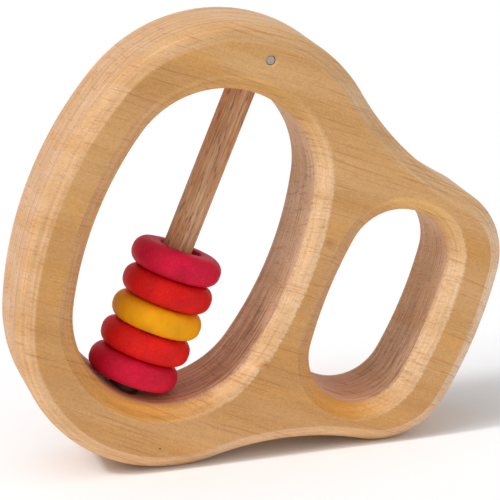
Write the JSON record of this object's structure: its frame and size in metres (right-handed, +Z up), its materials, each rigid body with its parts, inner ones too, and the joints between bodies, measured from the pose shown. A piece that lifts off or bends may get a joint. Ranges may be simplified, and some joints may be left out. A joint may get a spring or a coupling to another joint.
{
  "type": "baby rattle",
  "caption": "Flat wooden grasping rattle: a rounded board with a finger opening, and loose wooden discs that slide and clack on a rod across its head opening.",
  "frame": {"origin": "middle of the footprint on the floor, half-way through the board's thickness", "axes": "+X from the head towards the handle, +Y from the front face to the back face, +Z up"},
  "size_m": [0.0994, 0.0196, 0.0892],
  "materials": {
    "board_wood": "sanded and oiled",
    "rod_wood": "sanded, bare",
    "stain_crimson": "water-stained, matte",
    "stain_red": "water-stained, matte",
    "stain_amber": "water-stained, matte",
    "pin_metal": "plain cut end"
  },
  "bodies": {
    "frame": {"frame": "board_wood", "rod": "rod_wood", "locking_pin": "pin_metal"},
    "disc_1": {"disc_1": "stain_crimson"},
    "disc_2": {"disc_2": "stain_red"},
    "disc_3": {"disc_3": "stain_amber"},
    "disc_4": {"disc_4": "stain_red"},
    "disc_5": {"disc_5": "stain_crimson"}
  },
  "joints": [
    {"name": "disc_1_slide", "type": "slide", "parent": "frame", "child": "disc_1", "axis": [0.3919, 0, 0.92], "range_m": [0, 0.0065]},
    {"name": "disc_2_slide", "type": "slide", "parent": "disc_1", "child": "disc_2", "axis": [0.3919, 0, 0.92], "range_m": [0, 0.0065]},
    {"name": "disc_3_slide", "type": "slide", "parent": "disc_2", "child": "disc_3", "axis": [0.3919, 0, 0.92], "range_m": [0, 0.0065]},
    {"name": "disc_4_slide", "type": "slide", "parent": "disc_3", "child": "disc_4", "axis": [0.3919, 0, 0.92], "range_m": [0, 0.0065]},
    {"name": "disc_5_slide", "type": "slide", "parent": "disc_4", "child": "disc_5", "axis": [0.3919, 0, 0.92], "range_m": [0, 0.0065]}
  ]
}
